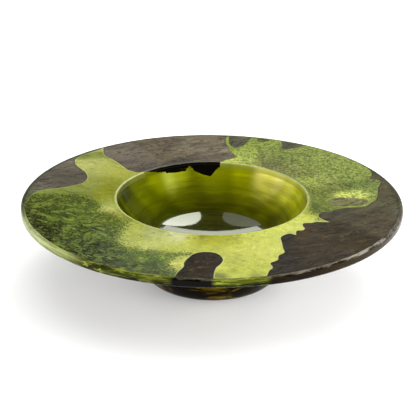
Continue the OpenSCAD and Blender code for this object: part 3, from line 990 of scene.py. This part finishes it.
def make_lip():
    section = lip_section()
    pale = turned_piece("lip_bead", section, DARK_LIP[1], DARK_LIP[0] + 360, lip_shape)
    dark = turned_piece("lip_dark", section, DARK_LIP[0], DARK_LIP[1], lip_shape)
    ground_paint(pale)
    # The inner face takes the wall's colours, with their painted highlight under the rear-right lip
    # and their painted shade.
    wall_tone_with_painted_light = spot_tint(WALL_SPOTS_WITH_PAINTED_LIGHT, 1.3, 1.2)
    store(pale.data, "wall", [wall_tone_with_painted_light(v.co.x, v.co.y) for v in pale.data.vertices])
    ground_material("lip_glass", crest=True).wear(pale)
    places = [v.co for v in dark.data.vertices]
    store(dark.data, "above_mm", [above_the_green(p.x, p.y, p.z) for p in places])
    store(dark.data, "tone", [dark_tone_and_sheen(p.x, p.y) for p in places])
    g = Glass("lip_dark_glass")
    smoke = g.noise(12, 4, 0.6, seed=3.0)
    tone = g.attribute("tone", "Color")
    outer = g.over(g.shade(tone, 0.9), g.shade(tone, 0.5), smoke, 0.4, 0.7, 0.4)
    inner = g.mix(smoke, tint(20, 16, 6), tint(34, 30, 16))
    colour = g.over(inner, outer, g.radius(), MOUTH_R + 1.6 * MM, MOUTH_R + 3.4 * MM)
    above = g.stirred(g.attribute("above_mm"), g.noise(4, 3, 0.6, seed=5.0), 1.6)
    colour = g.over(tint(120, 124, 10), colour, above, -0.3, 0.3)
    g.coat(colour, g.span(smoke, 0.3, 0.7, 0.12, 0.25), g.bump(smoke, 0.3, 0.4), 0.3)
    g.wear(dark)


def above_the_green(x, y, z):
    """Height in mm above the line, inside the lip, where the dark glass stops."""
    angle = math.degrees(math.atan2(y, x)) % 360
    line = np.interp(angle, (85, 103.2, 104.8, 106.4, 121, 127, 133, 138),
                     (83, 83.4, 87.2, 84.0, 83.6, 85.3, 88.2, 90.5))
    return z / MM - float(line)


def edge_shape(r, z, a):
    """An edge worked by hand: its width and height change slowly round the brim."""
    x, y = math.cos(a) * RIM_R, math.sin(a) * RIM_R
    out = float(smooth((r - BAND_R) / (RIM_R - BAND_R)))
    wobble = 0.12 * (1 + swell(x, y, 0.05, 4.9)) * out
    high = float(smooth((z - UNDER_Z) / (BRIM_Z - UNDER_Z)))
    lift = brim_lift(r * math.cos(a), r * math.sin(a)) * high
    sag = 0.35 * (1 + swell(x, y, 0.07, 2.9)) * (1 - high) * out
    return r - wobble * MM * 0.6, z + lift + sag * MM


# The band round the edge, as (angle, top colour, middle colour, low colour, share of veins).
# From 190° to 226° the light middle and low colours hold a painted reflection of the white floor;
# from 259° to 326° the light top colours hold a painted highlight along the band's upper corner.
BAND = [
    (137, (96, 93, 80), (84, 80, 68), (70, 66, 54), 0.2),
    (186, (98, 98, 78), (92, 94, 72), (80, 82, 60), 0.2),
    (190, (112, 118, 84), (138, 144, 106), (140, 146, 108), 0.3),
    (200, (130, 140, 82), (190, 198, 142), (192, 200, 138), 0.3),
    (212, (170, 180, 106), (212, 220, 164), (184, 192, 118), 0.3),
    (226, (160, 172, 86), (192, 202, 128), (132, 140, 64), 0.3),
    (231, (116, 122, 60), (120, 122, 70), (62, 64, 30), 0.8),
    (235, (92, 94, 46), (60, 58, 28), (34, 33, 10), 1.0),
    (242, (156, 166, 66), (66, 70, 14), (40, 42, 6), 1.0),
    (254, (166, 176, 70), (72, 77, 14), (32, 33, 3), 0.7),
    (258.6, (130, 136, 52), (86, 90, 20), (30, 30, 5), 0.4),
    (259.6, (120, 114, 92), (38, 30, 18), (30, 22, 8), 0.0),
    (270, (108, 103, 84), (30, 22, 13), (34, 26, 8), 0.0),
    (271.4, (150, 158, 76), (100, 108, 26), (44, 47, 3), 0.9),
    (284.6, (150, 156, 76), (92, 96, 22), (44, 45, 4), 0.9),
    (286.4, (96, 88, 66), (44, 37, 23), (36, 29, 17), 0.05),
    (296, (140, 131, 116), (50, 42, 30), (46, 38, 26), 0.08),
    (310, (176, 168, 156), (60, 51, 39), (62, 53, 41), 0.08),
    (326, (172, 166, 158), (78, 70, 58), (70, 62, 51), 0.08),
    (350, (112, 109, 98), (92, 88, 76), (80, 76, 64), 0.2),
    (390, (98, 98, 78), (86, 84, 66), (74, 72, 56), 0.2),
    (400, (118, 130, 76), (104, 114, 64), (84, 92, 50), 0.3),
    (440, (124, 136, 76), (104, 114, 62), (84, 92, 48), 0.3),
    (446, (100, 96, 80), (84, 80, 66), (70, 66, 52), 0.2),
    (497, (96, 93, 80), (84, 80, 68), (70, 66, 54), 0.2),
]
SECTORS = {
    "edge_dark_left": (137, 188), "edge_lime": (188, 232), "edge_veined": (232, 259),
    "edge_dark_front": (259, 270.6), "edge_striped": (270.6, 285.5), "edge_brown": (285.5, 350),
    "edge_grey_right": (350, 390), "edge_green_rear": (390, 445), "edge_dark_rear": (445, 497),
}


def band_colours(x, y):
    """The band's three colours and its share of veins, at a place on the edge."""
    angle = (math.degrees(math.atan2(y, x)) - BAND[0][0]) % 360 + BAND[0][0]
    for (a0, *low), (a1, *high) in zip(BAND, BAND[1:]):
        if angle <= a1:
            t = (angle - a0) / (a1 - a0)
            colours = [np.array(tint(*p)) * (1 - t) + np.array(tint(*q)) * t
                       for p, q in zip(low[:3], high[:3])]
            return colours + [low[3] * (1 - t) + high[3] * t]


def edge_corner(z, turn, steps=7):
    """A quarter of a circle round (RIM_R - EDGE_CORNER, z), from a number of quarter turns."""
    return [(RIM_R - EDGE_CORNER + EDGE_CORNER * math.cos(t), z + EDGE_CORNER * math.sin(t))
            for t in [math.pi / 2 * (k / steps + turn) for k in range(steps + 1)]]


def edge_material():
    """Banded glass with fine threads that run along the edge, and painted light: the band's painted
    highlight and painted floor reflection, and painted glints.
    """
    g = Glass("edge_glass")
    run = g.noise(3.6, 4, 0.62, vector=g.polar(RIM_R * 0.3, 1.0, 1.0), seed=1.0, distortion=0.8)
    line = g.noise(2.6, 3, 0.6, vector=g.polar(RIM_R * 0.05, 0.8, 1.0), seed=3.0)
    along = g.polar(RIM_R * 0.08, 0.8, 1.0)
    threads = g.noise(1.7, 4, 0.65, vector=along, seed=5.0, distortion=0.5)
    low, middle, top = (g.attribute(key, "Color") for key in ("band_low", "band_mid", "band_top"))
    vein = g.attribute("vein")
    height = g.stirred(g.span(g.place()[2], UNDER_Z, BRIM_Z), run, 0.5)
    colour = g.over(low, middle, height, 0.25, 0.6)
    # Painted highlight: the top colour laid along the band's upper corner.
    colour = g.over(colour, top, height, 0.94, 1.06)
    colour = g.over(colour, g.shade(colour, 0.4), line, 0.52, 0.42, 0.75)
    veins = g.times(g.span(threads, 0.50, 0.60, 0.0, 0.9), vein)
    colour = g.mix(veins, colour, g.mix(0.4, g.shade(colour, 1.9), tint(184, 194, 92)))
    # Bright flecks along the run: lime knots where there are veins, elsewhere painted glints made
    # from the top colour.
    bright = g.over(g.shade(top, 1.4), tint(176, 190, 74), vein, 0.5, 0.9)
    limit = g.minus(0.76, g.times(vein, 0.18))
    colour = g.over(colour, bright, g.minus(run, limit), 0.0, 0.05, 0.8)
    g.coat(colour, g.span(run, 0.3, 0.7, 0.16, 0.30), g.bump(run, 0.5, 0.5), 0.07)
    return g


def make_edge():
    section = [(BAND_R, UNDER_Z), *edge_corner(UNDER_Z + EDGE_CORNER, -1),
               *edge_corner(BRIM_Z - EDGE_CORNER, 0), (BAND_R, BRIM_Z)]
    glass = edge_material()
    for node, (a0, a1) in SECTORS.items():
        piece = turned_piece(node, section, a0, a1, edge_shape)
        found = [band_colours(v.co.x, v.co.y) for v in piece.data.vertices]
        for k, key in enumerate(("band_top", "band_mid", "band_low", "vein")):
            store(piece.data, key, [f[k] for f in found])
        glass.wear(piece)


def wall_back(x, y):
    """Height of the lining's back, which lies against the thick wall."""
    inward = math.hypot(x, y) - WALL_CENTRE[0]
    return WALL_CENTRE[1] - math.sqrt(max((WALL_R + LINING) ** 2 - inward ** 2, 0))


def make_well():
    # The lining's tone is the wall's spots made lighter, with their painted highlight under the
    # rear-right lip and their painted shade lower down.
    lining = sheet_piece("well_lining", wall_surface, wall_back, None,
                         {"tone": spot_tint(WALL_SPOTS_WITH_PAINTED_LIGHT, 1.45, 1.2)})
    g = Glass("lining_glass")
    tone = g.attribute("tone", "Color")
    around = g.polar(0.010, 1.0, 0.5)
    rings = g.noise(3.0, 4, 0.6, vector=around, seed=1.0)
    streaks = g.noise(8, 4, 0.55, vector=around, seed=6.0, distortion=0.4)
    slow = g.noise(26, 3, 0.5, seed=2.0)
    colour = g.layers(tone, tone, (streaks, 0.49, 0.38, 0.6, 0.5), (streaks, 0.52, 0.62, 0.6, 1.6),
                      (rings, 0.5, 0.70, 0.35, 0.6), (slow, 0.52, 0.72, 0.35, 0.65))
    g.coat(colour, g.span(streaks, 0.3, 0.7, 0.06, 0.12), g.bump(rings, 0.12, 0.25), 0.14)
    g.wear(lining)
    g = Glass("spill_glass")
    smoke = g.noise(10, 4, 0.6, seed=3.0)
    g.coat(g.mix(smoke, tint(18, 14, 5), tint(34, 28, 12)), g.span(smoke, 0.3, 0.7, 0.06, 0.16),
           g.bump(smoke, 0.2, 0.3))
    for node in ("spill_tongue", "spill_left"):
        g.wear(sheet_piece(node, wall_surface, wall_back))
    points, faces = node_arrays("well_floor")
    normals = unit(face_crosses(points, faces))
    dish_z = min(points[f[0]][2] for f, n in zip(faces, normals) if n[2] > 0.5)
    tip, steps = 0.0005 * MM, 28
    section = [(tip, FLOOR_LOW_Z), (FLOOR_R, FLOOR_LOW_Z)]
    section += [(FLOOR_R * t + tip * (1 - t), dish_z + (CREASE_Z - dish_z) * t ** 2)
                for t in [1 - k / steps for k in range(steps + 1)]]
    floor = turned_piece("well_floor", section, 0, 360)
    g = Glass("well_floor_glass")
    rings = g.noise(4, 3, 0.5, vector=g.polar(0.008, 1.0, 1.0), seed=2.0)
    g.coat(g.over(tint(84, 86, 2), tint(62, 64, 0), rings, 0.4, 0.7), 0.05, g.bump(rings, 0.1, 0.2))
    g.set("Coat Weight", 0.5)
    g.set("Coat Roughness", 0.02)
    g.wear(floor)


def under_glass():
    g = Glass("casing_glass")
    run = g.noise(9, 5, 0.62, vector=g.polar(0.022, 0.4, 1.0), seed=1.0, distortion=0.9)
    body = g.over(tint(40, 31, 3), tint(140, 116, 10), run, 0.48, 0.70)
    g.coat(body, g.span(run, 0.3, 0.7, 0.10, 0.22), g.bump(run, 0.4, 0.3), 0.02)
    return g


def dress_underside():
    """The CAD's own shapes for the casing, the streaks, the foot and the hidden thick glass."""
    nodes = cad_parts
    under_glass().wear(nodes["bowl_casing"], nodes["brim_casing"], nodes["foot_disc"])
    g = Glass("amber_glass")
    run = g.noise(6, 5, 0.6, vector=g.polar(0.022, 0.4, 1.0), seed=4.0, distortion=0.6)
    g.coat(g.over(tint(222, 190, 20), tint(84, 70, 4), run, 0.38, 0.6),
           g.span(run, 0.3, 0.7, 0.06, 0.14), gloss=0.04)
    g.wear(nodes["amber_streak_front"], nodes["amber_streak_right"])
    g = Glass("thick_glass")
    g.coat(g.mix(g.noise(30, 3, 0.5), tint(70, 76, 16), tint(96, 102, 28)), 0.12)
    g.wear(nodes["bowl_base"], nodes["bowl_wall"], nodes["brim_core"])


make_camera()
light_studio()
lay_floor()
lay_inlays()
make_lip()
make_edge()
make_well()
dress_underside()
